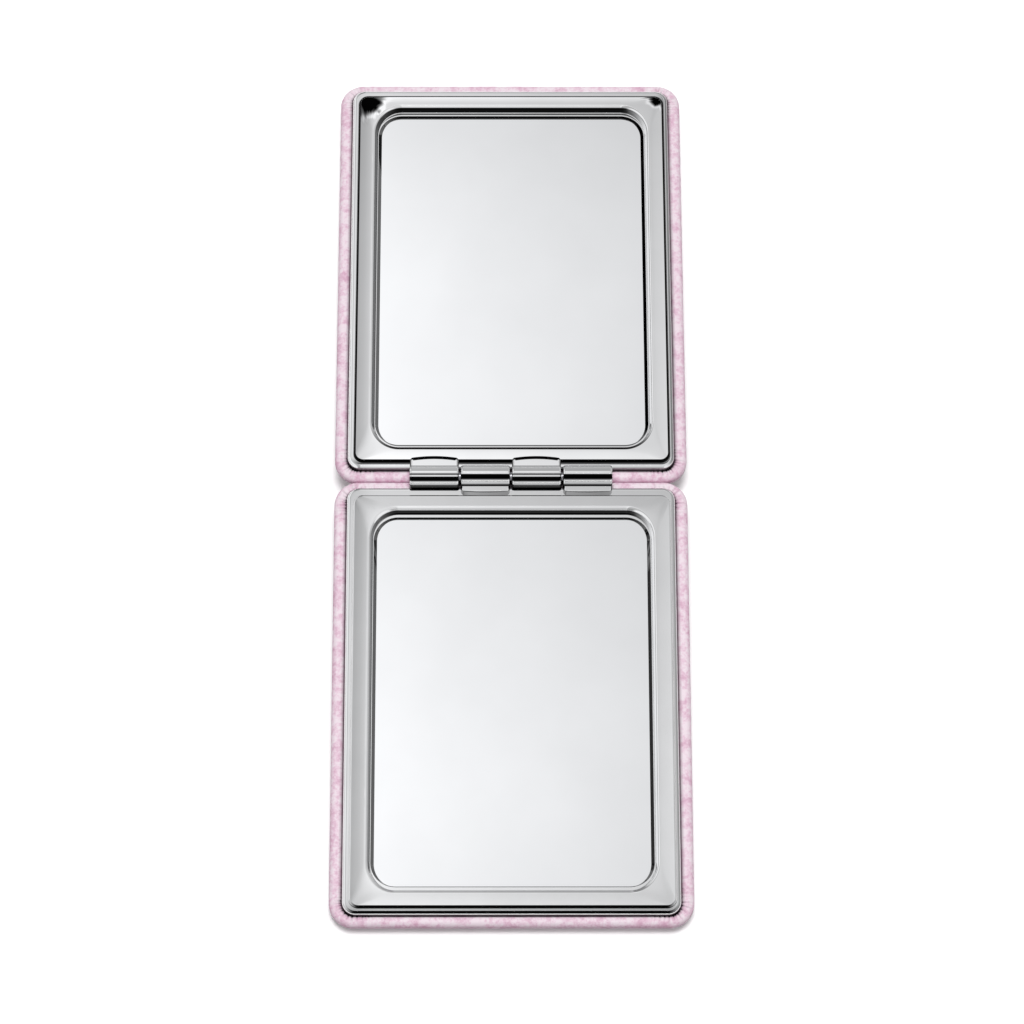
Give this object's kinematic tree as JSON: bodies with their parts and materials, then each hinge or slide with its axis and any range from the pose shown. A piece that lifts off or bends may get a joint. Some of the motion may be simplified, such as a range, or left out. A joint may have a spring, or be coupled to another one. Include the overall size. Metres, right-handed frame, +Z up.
{
  "type": "compact mirror",
  "caption": "Rectangular folding compact mirror: chromed frames with stepped edges hold a glass in lid and base, pink leather cases wrap the backs, and interleaved knuckles turn on a pin.",
  "frame": {"origin": "on the table, midway between the two free edges and below the hinge's axis", "axes": "+X along the hinge's axis, +Y from the hinge to the lid's free edge, +Z up, the way the mirrors face when open"},
  "size_m": [0.065, 0.1696, 0.0108],
  "materials": {
    "chrome": "polished chrome plating",
    "mirror": "silvered glass",
    "leather": "soft pink imitation leather with cloudy mottling and a low sheen",
    "tape": "white double-sided foam tape",
    "shell": "moulded, matt",
    "foam": "thin padding",
    "magnet": "nickel-plated magnet",
    "pin": "drawn steel"
  },
  "bodies": {
    "base": {"base_frame": "chrome", "base_mirror": "mirror", "base_mirror_tape": "tape", "base_shell": "shell", "base_foam_pad": "foam", "base_leather_cover": "leather", "base_magnet": "magnet", "hinge_pin": "pin"},
    "lid": {"lid_frame": "chrome", "lid_mirror": "mirror", "lid_mirror_tape": "tape", "lid_shell": "shell", "lid_foam_pad": "foam", "lid_leather_cover": "leather", "lid_magnet": "magnet"}
  },
  "joints": [
    {"name": "lid_hinge", "type": "hinge", "parent": "base", "child": "lid", "pos_m": [0, 0, 0.00872], "axis": [1, 0, 0], "range_deg": [0, 184.2]}
  ]
}
